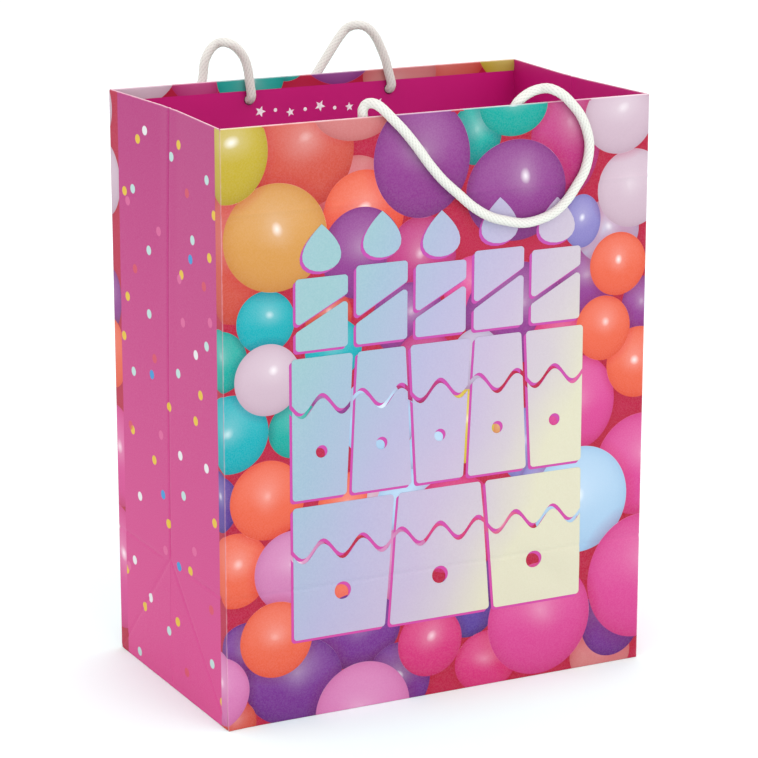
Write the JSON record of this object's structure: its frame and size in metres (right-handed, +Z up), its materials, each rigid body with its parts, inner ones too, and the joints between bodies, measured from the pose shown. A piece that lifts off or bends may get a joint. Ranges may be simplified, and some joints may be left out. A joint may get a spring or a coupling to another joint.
{
  "type": "gift bag",
  "caption": "Upright paper gift bag with folded gussets and base, turned-in hem, foil picture on a balloon print, loose base card and braided cord handles.",
  "frame": {"origin": "centre of the bag's base, on the surface that it stands on", "axes": "+Z up towards the open mouth, -Y out of the wide front, X along the bag's width"},
  "size_m": [0.26, 0.1634, 0.3585],
  "materials": {
    "printed_paper": "laminated print, satin",
    "confetti_paper": "laminated print, satin",
    "hem_paper": "laminated print, satin",
    "plain_paper": "uncoated",
    "grey_card": "uncoated",
    "tab_plastic": "moulded",
    "pastel_foil": "pearl pastel hot-stamped foil",
    "white_cord": "braided polyester cord"
  },
  "bodies": {
    "bag": {"front_panel": "printed_paper", "back_panel": "printed_paper", "left_gusset": "confetti_paper", "right_gusset": "confetti_paper", "front_glue_flap": "plain_paper", "back_glue_flap": "plain_paper", "front_hem": "hem_paper", "back_hem": "hem_paper", "left_hem": "hem_paper", "right_hem": "hem_paper", "front_stiffener_card": "grey_card", "back_stiffener_card": "grey_card", "front_cord_tabs": "tab_plastic", "back_cord_tabs": "tab_plastic", "base_front_flap": "printed_paper", "base_back_flap": "printed_paper", "base_left_tuck": "confetti_paper", "base_right_tuck": "confetti_paper", "base_corner_webs": "plain_paper", "front_foil_picture": "pastel_foil", "back_foil_picture": "pastel_foil", "front_handle_legs": "white_cord", "front_handle_bends": "white_cord", "back_handle_legs": "white_cord", "back_handle_bends": "white_cord"},
    "loose_base_card": {"base_card": "grey_card"},
    "front_handle": {"front_handle_loop": "white_cord"},
    "back_handle": {"back_handle_loop": "white_cord"}
  },
  "joints": [
    {"name": "front_handle_swing", "type": "hinge", "parent": "bag", "child": "front_handle", "pos_m": [0, -0.0756, 0.3372], "axis": [-1, 0, 0], "range_deg": [0, 175], "deforming": ["front_handle_bends"]},
    {"name": "back_handle_swing", "type": "hinge", "parent": "bag", "child": "back_handle", "pos_m": [0, 0.0756, 0.3552], "axis": [0.9985, 0, 0.0545], "range_deg": [0, 175], "deforming": ["back_handle_bends"]},
    {"name": "base_card_lift", "type": "slide", "parent": "bag", "child": "loose_base_card", "axis": [0, 0, 1], "range_m": [0, 0.25]}
  ]
}
